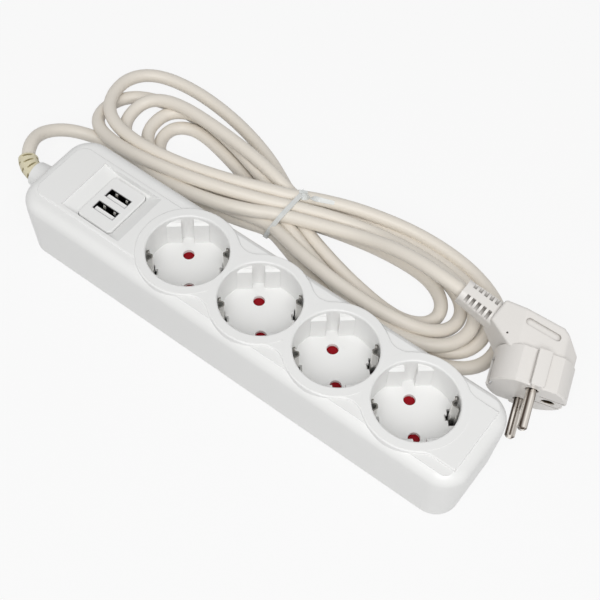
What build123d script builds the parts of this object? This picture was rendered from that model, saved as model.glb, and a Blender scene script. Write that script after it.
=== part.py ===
import os
from math import atan2, cos, degrees, hypot, radians, sin, sqrt, tan

from build123d import *

os.makedirs("parts", exist_ok=True)

# Row of sockets, which sets the housing's length
PITCH = 42.4
CABLE_END = 85.9
FREE_END = 36.9

# Housing
WIDTH = 52.0
HEIGHT = 39.0
CORNER_R = 13.0
SIDE_LEAN = 1.6
COVER_H = 11.0
WALL = 2.2
FLOOR_T = 2.0
ROOF_T = 2.4
EDGE_R = 5.5
FOOT_EDGE = 0.8
LIP_T = 1.2
LIP_H = 1.5
LIP_FIT = 0.15

# Raised socket field, its shoulders and the block that carries the USB outlet
FIELD_RISE = 1.35
RING_RISE = 0.25
RING_INSET = 1.4
NECK_INSET = 9.0
END_INSET = 8.5
END_GAP = 5.6
CREASE_INSET = 4.0
CREASE_RISE = 0.3
BLOCK_INSET = 8.1
BLOCK_RISE = 0.6

# Socket wells
TURN = 130.0
WELL_R = 19.5
WELL_WALL = 2.0
WELL_DEPTH = 17.2
WELL_FLOOR = 1.8
PIN_GAP = 19.0
PIN_D = 4.8
HOLE_PLAY = 0.4
GUIDE_FACE = 16.4
GUIDE_HALF = 10.0
GUIDE_SLOT = 6.0
GUIDE_DROP = 2.5
RIM_R = 0.9

# Earth contacts
CLIP_SHEET = 0.7
CLIP_BULGE = 2.3
CLIP_GAP = 0.6
CLIP_DROP = 4.0
CLIP_HALF = 3.2
CLIP_BEND = 0.6
NICHE_PLAY = 1.0
SADDLE_W = 8.0
STRIP_W = 5.0
STRIP_T = 0.8

# Shutters
SHUTTER_R = 13.5
SHUTTER_T = 2.7
SHUTTER_TURN = 35.0
PLAY = 0.2
PIVOT_R = 2.5
PIVOT_FIT = 0.05
CAGE_T = 1.8
CAGE_WALL = 1.4
CAGE_FIT = 0.4
EAR_T = 2.4
EAR_R = 2.6
EAR_AT = [(17.7, 6.3), (-17.7, -6.3)]
EAR_SCREW_R = 1.1
TAB_HALF = 5.0
TAB_PLAY = 1.6
TAB_AT = 120.0
POCKET_R = 5.1
POCKET_W = 2.4
POCKET_DEEP = 1.3
POCKET_LOW = 38.0
POCKET_HIGH = 142.0
PEG_AT = 132.0
PEG_R = 0.7
SPRING_T = 0.35

# Live and neutral rails
RAIL_SHEET = 0.6
RAIL_H = 3.0
LEAF_W = 8.0
LEAF_GAP = 1.0
CRIMP_R = 1.9
CRIMP_L = 3.4
CORE_R = 1.2

# USB outlet
USB_BACK = 46.5
USB_GAP = 8.8
PANEL_L = 20.3
PANEL_W = 27.6
PANEL_T = 2.0
PANEL_FIT = 0.25
PANEL_RISE = 1.4
PANEL_R = 2.4
PANEL_EDGE = 0.7
TROUGH_DEEP = 3.6
TROUGH_HALF = 15.6
RIDGE_STEP = 0.9
RIDGE_RUN = 7.4
RAMP_RUN = 7.3
USB_L = 12.5
USB_W = 5.12
USB_SHEET = 0.35
USB_DEEP = 13.0
TONGUE_L = 11.1
TONGUE_T = 1.84
BOARD_L = 29.0
BOARD_W = 39.0
BOARD_T = 1.6
POST = 4.8

# Screws
SCREW_R = 1.5
SCREW_HEAD_R = 2.9
SCREW_HEAD_T = 2.2
SCREW_LONG = 21.0
BOSS_R = 3.4

# Cord entry
CORD_D = 6.9
HUB_LONG = 12.0
HUB_R = 6.5
HUB_FLARE = 2.4
BUSH_R = 5.2
BUSH_FLANGE = 1.6
SLEEVE_R = 5.0
SLEEVE_SLOT = 1.1
BEND_R = 14.0
BEND_TURN = 45.0
CLAMP_BACK = 14.0
CLAMP_L = 7.0
CLAMP_W = 23.0
CLAMP_T = 2.2

# Plug
PLUG_R = 18.6
PLUG_FLAT = 15.9
SKIRT = 17.0
PIN_LONG = 19.0
PIN_ROOT = 11.0
PIN_ROOT_R = 2.0
PIN_SEAT = 1.2
FLAT_AT = 7.0
FLAT_W = 8.0
FLAT_DEEP = 6.0
EARTH_X = -10.6
EARTH_R = 3.2
SIDE_CLIP_X = 16.4
RELIEF_LONG = 20.0
RELIEF_TILT = 20.0
RELIEF_ROOT = 13.6
RELIEF_TIP = 11.6
RELIEF_SLOT = 1.7
GRIP_POCKET = 17.6

# Bound hank and its tie
HANK_LOW = 7.2
HANK_TOP = 13.8
TIE_X = -31.0
TIE_W = 2.2
TIE_T = 0.8
TIE_TAIL = 19.0
WAIST_NEAR = 46.8
WAIST_FAR = 86.4

# Places worked out from the sizes above
LENGTH = CABLE_END + 3 * PITCH + FREE_END
FIRST_X = CABLE_END - LENGTH / 2
SOCKET_X = [FIRST_X + i * PITCH for i in range(4)]
SEAM_Z = HEIGHT - COVER_H
SHOULDER_Z = HEIGHT - RING_RISE - FIELD_RISE
ROOF_Z = SHOULDER_Z - ROOF_T
BLOCK_Z = SHOULDER_Z + BLOCK_RISE
WELL_Z = HEIGHT - WELL_DEPTH
UNDER_Z = WELL_Z - WELL_FLOOR
SHUTTER_Z = UNDER_Z - PLAY - SHUTTER_T
CAGE_Z = SHUTTER_Z - PLAY - CAGE_T
SADDLE_Z = CAGE_Z - STRIP_T
STRIP_Z = SADDLE_Z - STRIP_T
USB_X = FIRST_X - USB_BACK
PANEL_Z = BLOCK_Z - TROUGH_DEEP
SHELL_Z = PANEL_Z + PANEL_RISE - 0.1
BOARD_Z = SHELL_Z - USB_DEEP - BOARD_T
CORD_R = CORD_D / 2
CORD_Z = SEAM_Z - 9.0
HUB_END = -LENGTH / 2 - HUB_LONG
CLAMP_X = -LENGTH / 2 + CLAMP_BACK
BOSS_Z = SEAM_Z - 12.0
SCREW_SEAT = FLOOR_T + 1.2
SCREW_AT = [(x, s * (WIDTH / 2 - 8.2)) for x in (-LENGTH / 2 + 13, SOCKET_X[1] + PITCH / 2) for s in (-1, 1)]
SCREW_AT += [(LENGTH / 2 - 13, s * (WIDTH / 2 - 9.2)) for s in (-1, 1)]


def save(node, shape):
    shape.label = node
    export_step(shape, f"parts/{node}.step")


def bar(x0, x1, y0, y1, z0, z1):
    low = (min(x0, x1), min(y0, y1), min(z0, z1))
    return Pos(*low) * Box(abs(x1 - x0), abs(y1 - y0), abs(z1 - z0), align=(Align.MIN,) * 3)


def rod(x, y, z0, z1, radius):
    return Pos(x, y, (z0 + z1) / 2) * Cylinder(radius, z1 - z0)


def rod_x(x0, x1, y, z, radius):
    return Pos((x0 + x1) / 2, y, z) * Rot(0, 90, 0) * Cylinder(radius, abs(x1 - x0))


def outline(z, inset):
    return Pos(0, 0, z) * RectangleRounded(LENGTH - 2 * inset, WIDTH - 2 * inset, CORNER_R - inset)


def sector(radius, start, end):
    arc = [(radius * cos(radians(a)), radius * sin(radians(a))) for a in (start, (start + end) / 2, end)]
    return make_face([Line((0, 0), arc[0]), ThreePointArc(*arc), Line(arc[2], (0, 0))])


def socket_place(x):
    return Pos(x, 0, 0) * Rot(0, 0, TURN)


def bend_radii(points):
    vectors = [Vector(*p) for p in points]
    radii = []
    for a, b, c in zip(vectors, vectors[1:], vectors[2:]):
        turn = (b - a).get_angle(c - b)
        radii.append(0.45 * min((b - a).length, (c - b).length) / tan(radians(turn / 2)))
    return radii


def tube(node, points, radius, radii):
    path = FilletPolyline(*points, radius=radii)
    print(node, "bend radii", [round(r, 1) for r in radii], "length", round(path.length, 1))
    runs = [sweep(Plane(origin=e @ 0, z_dir=e % 0) * Circle(radius), path=e) for e in path.edges()]
    return runs[0] + runs[1:]


# Outer form of the two halves
lower = loft([outline(0, SIDE_LEAN), outline(SEAM_Z, 0)])
lower = chamfer(lower.faces().sort_by(Axis.Z)[0].edges(), FOOT_EDGE)
upper = extrude(outline(SEAM_Z, 0), SHOULDER_Z - SEAM_Z)
upper = fillet(upper.faces().sort_by(Axis.Z)[-1].edges(), EDGE_R)

# Wavy field round the four sockets: ring arcs joined by hollow arcs, then a straight end
ring_r = WIDTH / 2 - RING_INSET
neck = WIDTH / 2 - NECK_INSET
end_half = WIDTH / 2 - END_INSET
end_x = LENGTH / 2 - END_GAP
half = PITCH / 2
neck_r = (half**2 + neck**2 - ring_r**2) / (2 * (ring_r - neck))
neck_a = degrees(atan2(neck + neck_r, half))
tail_dx = sqrt((ring_r + neck_r) ** 2 - (end_half + neck_r) ** 2)
tail_a = degrees(atan2(end_half + neck_r, tail_dx))
tail_x = SOCKET_X[-1] + tail_dx


def ring_at(x, angle):
    return (x + ring_r * cos(radians(angle)), ring_r * sin(radians(angle)))


waves = []
for i, x in enumerate(SOCKET_X):
    a0 = 180.0 if i == 0 else 180.0 - neck_a
    a1 = tail_a if i == 3 else neck_a
    waves.append(ThreePointArc(ring_at(x, a0), ring_at(x, (a0 + a1) / 2), ring_at(x, a1)))
    if i < 3:
        waves.append(ThreePointArc(ring_at(x, a1), (x + half, neck), ring_at(x + PITCH, 180 - a1)))
mid_a = radians((450.0 + tail_a) / 2)
tail_mid = (tail_x + neck_r * cos(mid_a), end_half + neck_r + neck_r * sin(mid_a))
waves.append(ThreePointArc(ring_at(SOCKET_X[-1], tail_a), tail_mid, (tail_x, end_half)))
waves.append(Line((tail_x, end_half), (end_x, end_half)))
waves += [edge.mirror(Plane.XZ) for edge in waves] + [Line((end_x, end_half), (end_x, -end_half))]
field = extrude(Pos(0, 0, ROOF_Z - 1) * make_face(waves), SHOULDER_Z + FIELD_RISE - ROOF_Z + 1)
field = fillet(field.faces().sort_by(Axis.Z)[-1].edges(), 0.6)
rings = [rod(x, 0, ROOF_Z, HEIGHT, ring_r - 0.7) for x in SOCKET_X]

# Flat shoulders with a crease, and the plain block at the cable end
crease_l = end_x - 0.6 - FIRST_X
shoulder = RectangleRounded(crease_l, WIDTH - 2 * CREASE_INSET, 4.0)
shoulder = extrude(Pos(FIRST_X + crease_l / 2, 0, ROOF_Z) * shoulder, SHOULDER_Z + CREASE_RISE - ROOF_Z)
block_x = -LENGTH / 2 + 5.0
block_l = FIRST_X - block_x
block = RectangleRounded(block_l, WIDTH - 2 * BLOCK_INSET, 6.0)
block = extrude(Pos(block_x + block_l / 2, 0, PANEL_Z - PANEL_T) * block, BLOCK_Z - PANEL_Z + PANEL_T)
block = fillet(block.faces().sort_by(Axis.Z)[-1].edges(), 0.8)

# One well in the socket's own axes: guide blocks at the sides, pin holes, niches for the earth clips
well = rod(0, 0, WELL_Z, HEIGHT + 1, WELL_R)
pin_hole_r = PIN_D / 2 + HOLE_PLAY
clip_out = WELL_R - CLIP_GAP
clip_in = clip_out - CLIP_BULGE
niche_half = CLIP_HALF + NICHE_PLAY
niche = rod(0, 0, UNDER_Z - 1, HEIGHT - CLIP_DROP + 1.0, WELL_R + 1.1)
well_holes = []
for side in (-1, 1):
    well_holes.append(rod(side * PIN_GAP / 2, 0, UNDER_Z - 1, WELL_Z + 1, pin_hole_r))
    reach = side * (clip_in - CLIP_SHEET)
    well_holes.append(niche & bar(-niche_half, niche_half, reach, side * (WELL_R + 3), 0, HEIGHT))
    well_holes.append(bar(-1.6, 1.6, reach - side * 1.4, reach + side, UNDER_Z - 1, WELL_Z + 1))
    for lane in (-1, 1):
        face = side * GUIDE_FACE
        slot_y = lane * GUIDE_SLOT / 2
        guide = bar(face, side * (WELL_R + 1), slot_y, lane * GUIDE_HALF, WELL_Z, HEIGHT - GUIDE_DROP)
        rim = guide.edges().filter_by(Axis.Y).sort_by_distance((face, 0, HEIGHT))[0]
        well -= chamfer(rim, 1.2)
for x, y in EAR_AT:
    well_holes.append(rod(x, y, UNDER_Z - 1, WELL_Z + 6.0, EAR_SCREW_R))

# Cover moulding
cavity = extrude(outline(SEAM_Z, WALL), ROOF_Z - SEAM_Z)
cavity = chamfer(cavity.faces().sort_by(Axis.Z)[-1].edges(), ROOF_T)
open_l = PANEL_L + 2 * PANEL_FIT
open_w = PANEL_W + 2 * PANEL_FIT
panel_low = PANEL_Z - PANEL_T
x0 = USB_X - open_l / 2
x1 = USB_X + open_l / 2
ridge_x = x0 - RIDGE_RUN
ramp_x = x1 + RAMP_RUN
top_z = HEIGHT + 2
profile = [(ridge_x, top_z), (ridge_x, BLOCK_Z - RIDGE_STEP), (x0, PANEL_Z)]
profile += [(x1, PANEL_Z), (ramp_x, BLOCK_Z), (ramp_x, top_z)]
trough = make_face(Polyline(*[(x, 0, z) for x, z in profile], close=True))
cover = upper + field + shoulder + block
cover = cover + rings - cavity
cover += bar(ridge_x - 1.5, ramp_x + 1.5, -TROUGH_HALF - 2, TROUGH_HALF + 2, panel_low, ROOF_Z + 0.5)
cover -= extrude(trough, TROUGH_HALF, dir=(0, 1, 0), both=True)
cover -= extrude(Pos(USB_X, 0, panel_low - 1) * RectangleRounded(open_l, open_w, PANEL_R), PANEL_T + 2)
cover += [rod(x, y, BOSS_Z, ROOF_Z + 0.5, BOSS_R) for x, y in SCREW_AT]
cover += [rod(x, 0, UNDER_Z, HEIGHT - 1, WELL_R + WELL_WALL) for x in SOCKET_X]
for x in SOCKET_X:
    cover -= socket_place(x) * well
    cover -= [socket_place(x) * hole for hole in well_holes]
cover -= [rod(x, y, BOSS_Z - 1, SCREW_SEAT + SCREW_LONG + 1, SCREW_R) for x, y in SCREW_AT]
rims = [e for e in cover.edges().filter_by(GeomType.CIRCLE) if abs(e.radius - WELL_R) < 0.01]
cover = fillet([e for e in rims if e.arc_center.Z > HEIGHT - 0.01], RIM_R)
save("top_cover", cover)

# Base moulding: tray with a lip, screw towers, ribs that hold the rails, and posts for the board
inside = loft([outline(FLOOR_T, SIDE_LEAN + WALL), outline(SEAM_Z, WALL)])
base = lower - inside
lip = outline(SEAM_Z - 3, WALL + LIP_FIT) - outline(SEAM_Z - 3, WALL + LIP_FIT + LIP_T)
base += extrude(lip, LIP_H + 3)
base += [rod(x, y, FLOOR_T - 0.5, BOSS_Z, BOSS_R + 0.3) for x, y in SCREW_AT]
rail_y = PIN_GAP / 2 * sin(radians(TURN))
rail_dx = PIN_GAP / 2 * cos(radians(TURN))
rail_half = PIN_D / 2 + RAIL_SHEET
rail_x0 = SOCKET_X[0] - 19.0
rail_x1 = SOCKET_X[-1] + 15.8
rail_top = FLOOR_T + RAIL_H
rib_x = [x + PITCH / 2 - 6.0 for x in SOCKET_X[:3]] + [SOCKET_X[0] - 15.0, SOCKET_X[-1] + 15.0]
for x in rib_x:
    base += bar(x - 0.8, x + 0.8, -13.0, 13.0, FLOOR_T - 0.5, rail_top + 2.0)
    base += bar(x - 0.8, x + 0.8, -STRIP_W / 2 - 0.7, STRIP_W / 2 + 0.7, rail_top, STRIP_Z)
post_at = [(USB_X + dx, dy) for dx in (-11.5, 11.5) for dy in (-16.5, 16.5)]
post = bar(-POST / 2, POST / 2, -POST / 2, POST / 2, FLOOR_T - 0.5, BOARD_Z)
base += [Pos(x, y, 0) * post for x, y in post_at]
base += bar(CLAMP_X - CLAMP_L / 2, CLAMP_X + CLAMP_L / 2, -CLAMP_W / 2, CLAMP_W / 2, FLOOR_T - 0.5, CORD_Z)

# Flared hub at the cable end, and the holes in the base
hub_x = -LENGTH / 2 + 6.0
hub = Cone(HUB_R + HUB_FLARE, HUB_R, hub_x - HUB_END, align=(Align.CENTER, Align.CENTER, Align.MIN))
base += Plane(origin=(hub_x, 0, CORD_Z), z_dir=(-1, 0, 0)) * hub - inside
base -= rod_x(HUB_END - 1, -LENGTH / 2 + WALL + 2, 0, CORD_Z, BUSH_R)
base -= rod_x(CLAMP_X - CLAMP_L, CLAMP_X + CLAMP_L, 0, CORD_Z, CORD_R)
clamp_at = [(CLAMP_X, side * (CLAMP_W / 2 - 3.1)) for side in (-1, 1)]
base -= [rod(x, y, CORD_Z - 9, CORD_Z + 1, 1.2) for x, y in clamp_at]
base -= [rod(x, y, BOARD_Z - 7, BOARD_Z + 1, 1.0) for x, y in post_at[1:3]]
for side in (-1, 1):
    base -= bar(rail_x0 - 4, rail_x1, side * rail_y - rail_half, side * rail_y + rail_half, FLOOR_T, rail_top)
for x, y in SCREW_AT:
    base -= rod(x, y, -1, BOSS_Z + 1, SCREW_R + 0.2)
    base -= rod(x, y, -1, SCREW_SEAT, SCREW_HEAD_R + 0.1)
save("base_cover", base)

# Cover screws with a driver slot
screws = []
for x, y in SCREW_AT:
    head_z = SCREW_SEAT - SCREW_HEAD_T
    screw = rod(x, y, head_z, SCREW_SEAT, SCREW_HEAD_R)
    screw += rod(x, y, SCREW_SEAT, SCREW_SEAT + SCREW_LONG, SCREW_R)
    screws.append(screw - bar(x - 2.0, x + 2.0, y - 0.3, y + 0.3, head_z - 0.5, head_z + 0.7))
save("cover_screws", Compound(children=screws))

# Live and neutral rails: a channel with a pair of contact leaves at every pin and a crimp for its core
crimp_x = rail_x0 - 4.0
crimp_z = FLOOR_T + CRIMP_R
for node, side in (("live_rail", 1), ("neutral_rail", -1)):
    y = side * rail_y
    rail = bar(rail_x0, rail_x1, y - rail_half, y + rail_half, FLOOR_T, rail_top)
    for x in SOCKET_X:
        leaf = bar(-LEAF_W / 2, LEAF_W / 2, y - rail_half, y + rail_half, FLOOR_T, STRIP_Z - LEAF_GAP)
        rail += Pos(x + side * rail_dx, 0, 0) * leaf
    rail -= bar(rail_x0 - 1, rail_x1 + 1, y - PIN_D / 2, y + PIN_D / 2, FLOOR_T + RAIL_SHEET, STRIP_Z)
    rail += bar(crimp_x + CRIMP_L - 1, rail_x0 + 1, y - CRIMP_R, y + CRIMP_R, FLOOR_T, FLOOR_T + RAIL_SHEET)
    rail += rod_x(crimp_x, crimp_x + CRIMP_L, y, crimp_z, CRIMP_R)
    save(node, rail - rod_x(crimp_x - 1, crimp_x + CRIMP_L + 1, y, crimp_z, CORE_R))

# Earth strip along the middle, and a saddle with two sprung arms through each well
save("earth_strip", bar(rail_x0, rail_x1, -STRIP_W / 2, STRIP_W / 2, STRIP_Z, SADDLE_Z))
wave = [(CLIP_HALF, clip_out - 1.1), (CLIP_HALF, clip_out), (CLIP_HALF - 1.6, clip_out), (0.9, clip_in)]
wave += [(-0.9, clip_in), (0.9 - CLIP_HALF, clip_out), (-CLIP_HALF, clip_out)]
arm = trace(FilletPolyline(*wave, radius=CLIP_BEND), CLIP_SHEET)
arm = extrude(Pos(0, 0, SADDLE_Z) * arm, HEIGHT - CLIP_DROP - SADDLE_Z)
saddle_l = clip_out + CLIP_SHEET / 2
saddle = bar(-SADDLE_W / 2, SADDLE_W / 2, -saddle_l, saddle_l, SADDLE_Z, CAGE_Z)
saddle += [arm, arm.mirror(Plane.XZ)]
for i, x in enumerate(SOCKET_X):
    save(f"earth_clip_{i + 1}", socket_place(x) * saddle)

# Shutter cage: plate, ring wall with a window for the tab, pivot, spring peg and two screwed ears
cage_in = SHUTTER_R + CAGE_FIT
cage_r = cage_in + CAGE_WALL
shutter_top = SHUTTER_Z + SHUTTER_T
hollow = rod(0, 0, CAGE_Z + CAGE_T, UNDER_Z + 1, cage_in)
cage = rod(0, 0, CAGE_Z, UNDER_Z, cage_r)
for x, y in EAR_AT:
    ear_low = UNDER_Z - EAR_T
    ear = bar(0, hypot(x, y), -EAR_R, EAR_R, ear_low, UNDER_Z) + rod(hypot(x, y), 0, ear_low, UNDER_Z, EAR_R)
    cage += Rot(0, 0, degrees(atan2(y, x))) * ear
    cage -= rod(x, y, CAGE_Z - 1, UNDER_Z + 1, EAR_SCREW_R)
cage -= hollow
peg = (POCKET_R * cos(radians(PEG_AT)), POCKET_R * sin(radians(PEG_AT)))
cage += rod(0, 0, CAGE_Z, shutter_top, PIVOT_R)
cage += rod(peg[0], peg[1], CAGE_Z, SHUTTER_Z + POCKET_DEEP - PLAY, PEG_R)
cage -= [rod(s * PIN_GAP / 2, 0, CAGE_Z - 1, SHUTTER_Z, pin_hole_r + 0.3) for s in (-1, 1)]
window = sector(cage_r + 2, TAB_AT - TAB_HALF - TAB_PLAY, TAB_AT + SHUTTER_TURN + TAB_HALF + TAB_PLAY)
window = extrude(Pos(0, 0, CAGE_Z + CAGE_T) * window, SHUTTER_T + 2 * PLAY)
cage -= window - rod(0, 0, CAGE_Z, UNDER_Z + 1, cage_in - 0.2)

# Turning shutter: disc with two openings, sloped entries, a stop tab and a pocket for its spring
shutter = rod(0, 0, SHUTTER_Z, shutter_top, SHUTTER_R)
tab = extrude(Pos(0, 0, SHUTTER_Z) * sector(cage_r, TAB_AT - TAB_HALF, TAB_AT + TAB_HALF), SHUTTER_T)
shutter += tab
shutter -= rod(0, 0, SHUTTER_Z - 1, shutter_top + 1, PIVOT_R + PIVOT_FIT)
for turn in (0, 180):
    slot = rod(PIN_GAP / 2, 0, SHUTTER_Z - 1, shutter_top + 1, pin_hole_r + 0.35)
    slope = Pos(PIN_GAP / 2, 0, shutter_top + 0.25) * Rot(25, 0, 0) * Pos(0, -1.0, 1.5) * Box(6.0, 7.6, 3.0)
    shutter -= Rot(0, 0, turn - SHUTTER_TURN) * slot
    shutter -= Rot(0, 0, turn - SHUTTER_TURN / 2) * slope
pocket = sector(POCKET_R + POCKET_W / 2, POCKET_LOW, POCKET_HIGH) - Circle(POCKET_R - POCKET_W / 2)
shutter -= extrude(Pos(0, 0, SHUTTER_Z - 1) * pocket, POCKET_DEEP + 1)

# Zigzag leaf spring between the pocket's end and the peg
zigzag = []
for k in range(8):
    a = radians(POCKET_LOW + 4.0 + k * (PEG_AT - POCKET_LOW - 14.0) / 7)
    r = POCKET_R + (0.7 if k % 2 else -0.7)
    zigzag.append((r * cos(a), r * sin(a)))
spring = extrude(Pos(0, 0, SHUTTER_Z + 0.1) * trace(Polyline(*zigzag), SPRING_T), POCKET_DEEP - 0.4)
for i, x in enumerate(SOCKET_X):
    save(f"shutter_cage_{i + 1}", socket_place(x) * cage)
    save(f"shutter_{i + 1}", socket_place(x) * shutter)
    save(f"shutter_spring_{i + 1}", socket_place(x) * spring)

# Screws that hold the cages up against the wells
cage_screws = []
for x in SOCKET_X:
    for sx, sy in EAR_AT:
        seat = UNDER_Z - EAR_T
        screw = rod(sx, sy, seat, WELL_Z + 6.0, EAR_SCREW_R) + rod(sx, sy, seat - 1.4, seat, EAR_SCREW_R + 1)
        cage_screws.append(socket_place(x) * screw)
save("cage_screws", Compound(children=cage_screws))

# USB face plate with a flange under the cover, and two receptacles standing on the supply board
flange_l = PANEL_L / 2 + 1.2
flange_w = PANEL_W / 2 + 1.2
panel = RectangleRounded(PANEL_L, PANEL_W, PANEL_R)
panel = extrude(Pos(USB_X, 0, panel_low) * panel, PANEL_T + PANEL_RISE)
panel = fillet(panel.faces().sort_by(Axis.Z)[-1].edges(), PANEL_EDGE)
panel += bar(USB_X - flange_l, USB_X + flange_l, -flange_w, flange_w, panel_low - 1.2, panel_low)
shell_low = SHELL_Z - USB_DEEP
in_l = USB_L / 2
in_w = USB_W / 2
for i, side in enumerate((1, -1)):
    mouth = Pos(USB_X, side * USB_GAP / 2, 0)
    case = bar(-in_l - USB_SHEET, in_l + USB_SHEET, -in_w - USB_SHEET, in_w + USB_SHEET, shell_low, SHELL_Z)
    panel -= mouth * Pos(0, 0, 2) * case
    case -= bar(-in_l, in_l, -in_w, in_w, shell_low - 1, SHELL_Z + 1)
    for dx in (-3.2, 3.2):
        case -= bar(dx - 0.7, dx + 0.7, in_w - 0.2, in_w + 1, SHELL_Z - 6.0, SHELL_Z - 3.2)
    save(f"usb_shell_{i + 1}", mouth * case)
    tongue = bar(-TONGUE_L / 2, TONGUE_L / 2, -0.16 - TONGUE_T, -0.16, shell_low, SHELL_Z - 0.8)
    tongue += bar(-in_l, in_l, -in_w, in_w, shell_low, shell_low + 3.0)
    save(f"usb_tongue_{i + 1}", mouth * tongue)
save("usb_panel", panel)

# Supply board with its screws, transformer and capacitor
board = bar(USB_X - BOARD_L / 2, USB_X + BOARD_L / 2, -BOARD_W / 2, BOARD_W / 2, BOARD_Z, BOARD_Z + BOARD_T)
board -= [rod(x, y, BOARD_Z - 1, BOARD_Z + 3, 1.0) for x, y in post_at[1:3]]
save("usb_board", board)
board_screws = []
for x, y in post_at[1:3]:
    head = rod(x, y, BOARD_Z + BOARD_T, BOARD_Z + BOARD_T + 1.5, 1.9)
    board_screws.append(rod(x, y, BOARD_Z - 7, BOARD_Z + BOARD_T, 1.0) + head)
save("usb_board_screws", Compound(children=board_screws))
core = bar(USB_X - 6.5, USB_X + 6.5, -4.5, 8.5, BOARD_Z - 9.0, BOARD_Z)
core -= bar(USB_X - 4.2, USB_X + 4.2, -5.5, 9.5, BOARD_Z - 7.2, BOARD_Z - 1.4)
save("usb_transformer", fillet(core.edges().filter_by(Axis.Z), 0.8))
winding = bar(USB_X - 4.2, USB_X + 4.2, -3.2, 7.2, BOARD_Z - 7.2, BOARD_Z - 1.4)
save("usb_winding", fillet(winding.edges().filter_by(Axis.Z), 2.0))
save("usb_capacitor", rod(USB_X + 1.0, -10.5, BOARD_Z - 10.0, BOARD_Z, 4.0))

# Plug in its own axes: x towards the cable, y along the pin pair, z back from the face
seat = Plane(origin=(121.4, 43.7, 17.96), x_dir=(-0.922, -0.354, 0.155), z_dir=(-0.316, 0.921, 0.228))
skirt = Circle(PLUG_R)
for sx in (-1, 1):
    for sy in (-1, 1):
        skirt -= Pos(sx * FLAT_AT, sy * (PLUG_FLAT + FLAT_DEEP / 2)) * Rectangle(FLAT_W, FLAT_DEEP)
skirt = extrude(skirt, SKIRT)
skirt = chamfer(skirt.faces().sort_by(Axis.Z)[0].outer_wire().edges(), 0.7)
side_view = [(-18.0, SKIRT - 1), (-18.4, 21.7), (-7.0, 31.9), (21.5, 37.6), (25.8, 26.6), (15.4, SKIRT - 1)]
grip = make_face(Polyline(*[(x, 0, z) for x, z in side_view], close=True))
grip = extrude(grip, PLUG_R + 1, dir=(0, 1, 0), both=True)
back_view = [(-17.0, 7.0), (-9.0, 13.7), (12.0, 12.7), (27.0, 7.4)]
back_view += [(x, -y) for x, y in reversed(back_view)]
grip &= extrude(fillet(make_face(Polyline(*back_view, close=True)).vertices(), 3.5), 60.0)
grip = fillet(grip.edges().filter_by(lambda edge: edge.center().Z > SKIRT + 1), 1.6)

# Ribbed strain relief moulded on the plug, tilted back from the face
tilt = radians(RELIEF_TILT)
relief_at = Plane(origin=(22.0, 0, 31.0), x_dir=(0, 1, 0), z_dir=(cos(tilt), 0, sin(tilt)))
root = Pos(0, 0, -4) * RectangleRounded(RELIEF_ROOT, RELIEF_ROOT - 0.6, 4.0)
relief = loft([root, Pos(0, 0, RELIEF_LONG) * RectangleRounded(RELIEF_TIP, RELIEF_TIP - 0.4, 4.0)])
for k in range(5):
    for sx in (-1, 1):
        for sy in (-1, 1):
            relief -= Pos(sx * 6.4, sy * 4.6, 4.2 + k * (RELIEF_LONG - 5.0) / 5) * Box(5.6, 5.2, RELIEF_SLOT)
body = skirt + grip + relief_at * relief
pocket = Rot(0, -13.0, 0) * fillet(Box(GRIP_POCKET, 2.4, 3.6).edges().filter_by(Axis.Y), 1.7)
for side in (-1, 1):
    body -= Pos(2.6, side * 13.2, 27.8) * Rot(0, 0, -2.7 * side) * pocket
    body -= rod(0, side * PIN_GAP / 2, -1, PIN_ROOT, PIN_ROOT_R)
    body -= rod(0, side * PIN_GAP / 2, -1, PIN_SEAT, PIN_D / 2 + 0.8)
    body -= bar(-17.2, -5.4, side * 4.3 - 0.4, side * 4.3 + 0.4, -1, 6.0)
    body -= bar(side * SIDE_CLIP_X, side * (PLUG_R + 2), -3.0, 3.0, -1, 12.0)
body -= rod(EARTH_X, 0, -1, 15.0, EARTH_R)
body -= Pos(17.6, 11.0, 21.6) * Rot(90, 0, 0) * Cylinder(0.5, 4.0)

# Pins and earth contacts of the plug
pin = rod(0, 0, -PIN_LONG, PIN_SEAT, PIN_D / 2)
pin = chamfer(pin.edges().sort_by(Axis.Z)[0], 1.1) + rod(0, 0, PIN_SEAT, PIN_ROOT, PIN_ROOT_R)
for i, side in enumerate((1, -1)):
    save(f"plug_pin_{i + 1}", seat * Pos(0, side * PIN_GAP / 2, 0) * pin)
    contact = bar(side * SIDE_CLIP_X, side * (SIDE_CLIP_X + 0.9), -2.2, 2.2, 0.4, 12.0)
    save(f"plug_earth_clip_{i + 1}", seat * contact)
thimble = rod(EARTH_X, 0, 0.6, 15.0, EARTH_R) - rod(EARTH_X, 0, 0, 14.0, PIN_D / 2 + PIVOT_FIT)
save("plug_earth_socket", seat * thimble)

# Bound hank, as the outer shape of the folded lead: a wide low layer and a smaller one on it
low_layer = [(-157.5, 84.0), (-150.0, 67.0), (-128.0, 57.0), (-92.0, 50.0), (-38.0, 47.0), (-4.0, 43.0)]
low_layer += [(40.0, 41.5), (84.0, 43.5), (96.0, 58.0), (93.0, 78.0), (72.0, 92.5), (34.0, 100.0)]
low_layer += [(2.0, 93.5), (-28.0, 86.5), (-56.0, 97.5), (-108.0, 106.0), (-143.0, 102.0)]
top_layer = [(-141.0, 84.0), (-128.0, 70.0), (-90.0, 60.0), (-40.0, 52.5), (-4.0, 51.0), (42.0, 53.0)]
top_layer += [(58.0, 66.0), (50.0, 82.0), (4.0, 85.0), (-30.0, 82.5), (-62.0, 89.0), (-112.0, 97.0)]
hank = extrude(fillet(make_face(Polyline(*low_layer, close=True)).vertices(), 7.0), HANK_LOW)
hank = chamfer(hank.faces().sort_by(Axis.Z)[-1].edges(), 1.8)
heap = fillet(make_face(Polyline(*top_layer, close=True)).vertices(), 7.0)
heap = extrude(Pos(0, 0, HANK_LOW - 2) * heap, HANK_TOP - HANK_LOW + 2)
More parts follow.
